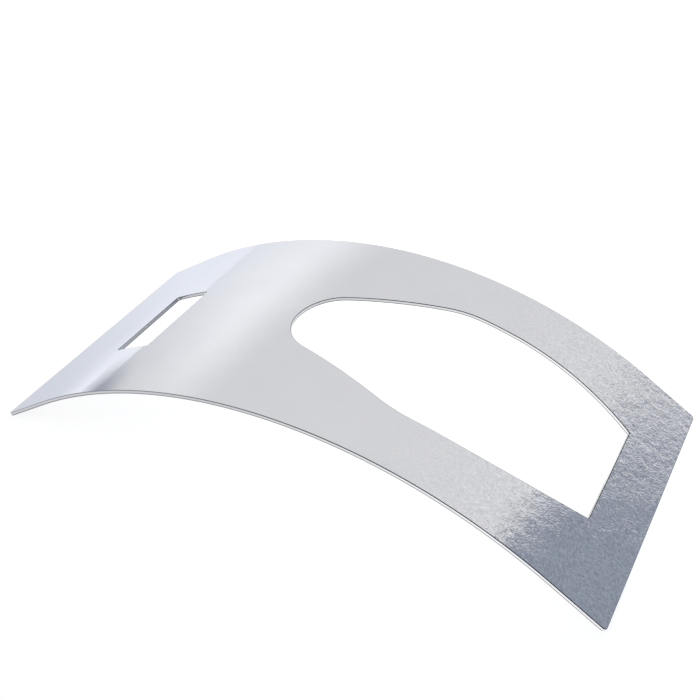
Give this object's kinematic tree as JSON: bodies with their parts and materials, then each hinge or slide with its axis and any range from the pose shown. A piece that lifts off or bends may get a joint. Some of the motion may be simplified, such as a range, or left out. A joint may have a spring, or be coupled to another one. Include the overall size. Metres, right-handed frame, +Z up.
{
  "type": "wine rack",
  "caption": "Arched one-bottle wine rack rolled from a single polished steel sheet, with a large opening for a reclining bottle and a small slot that keeps its cork.",
  "frame": {"origin": "on the table under the middle of the holder", "axes": "+X along the sheet from the neck end (the end with the cork slot) to the heel end, +Y to the back, +Z up"},
  "size_m": [0.314, 0.15, 0.0576],
  "materials": {
    "polished_steel": "mirror-polished stainless steel with fine polishing lines, bright rounded edges",
    "clear_silicone": "soft translucent silicone, satin"
  },
  "bodies": {
    "root": {"holder_sheet": "polished_steel", "pad_neck_end_front": "clear_silicone", "pad_neck_end_back": "clear_silicone", "pad_heel_end_front": "clear_silicone", "pad_heel_end_back": "clear_silicone"}
  },
  "joints": []
}
